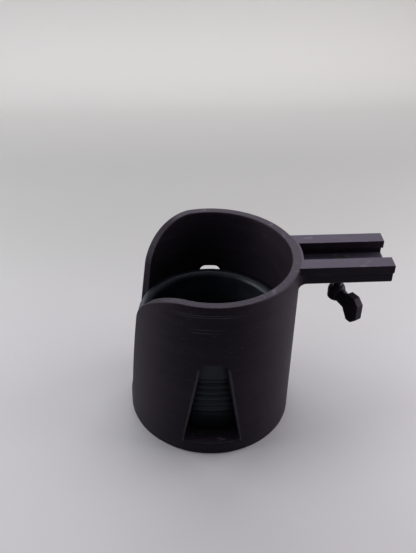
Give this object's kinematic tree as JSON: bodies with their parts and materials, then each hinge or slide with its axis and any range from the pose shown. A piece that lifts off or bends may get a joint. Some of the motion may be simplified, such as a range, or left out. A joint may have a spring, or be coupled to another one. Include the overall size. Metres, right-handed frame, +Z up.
{
  "type": "desk clamp cup holder",
  "caption": "Round printed cup sleeve with a handle slot and windows, a T-slot arm for a desk clamp and a thumb-lever screw.",
  "frame": {"origin": "centre of the sleeve's flat underside", "axes": "+Z up along the sleeve's axis, +X along the arm away from the sleeve, +Y to the left when looking along +X"},
  "size_m": [0.1453, 0.096, 0.1072],
  "materials": {
    "filament": "dark purple-grey printed filament, satin, with fine level layer lines",
    "soft_rubber": "blue-black soft rubber, matte",
    "screw_steel": "black-oxide steel",
    "nylon": "black moulded nylon"
  },
  "bodies": {
    "holder": {"holder_body": "filament", "cup_liner": "soft_rubber", "captive_nut": "screw_steel"},
    "pad": {"pressure_pad": "nylon"},
    "lever": {"thumb_lever": "filament", "clamp_screw": "screw_steel"}
  },
  "joints": [
    {"name": "pad_rise", "type": "slide", "parent": "holder", "child": "pad", "axis": [0, 0, 1], "range_m": [0, 0.0016]},
    {"name": "lever_turn", "type": "hinge", "parent": "pad", "child": "lever", "pos_m": [0.0715, 0, 0.08], "axis": [0, 0, 1], "range_deg": [0, 720]}
  ],
  "couplings": [
    {"joint": "lever_turn", "follows": "pad_rise", "rad_per_m": 7854}
  ]
}
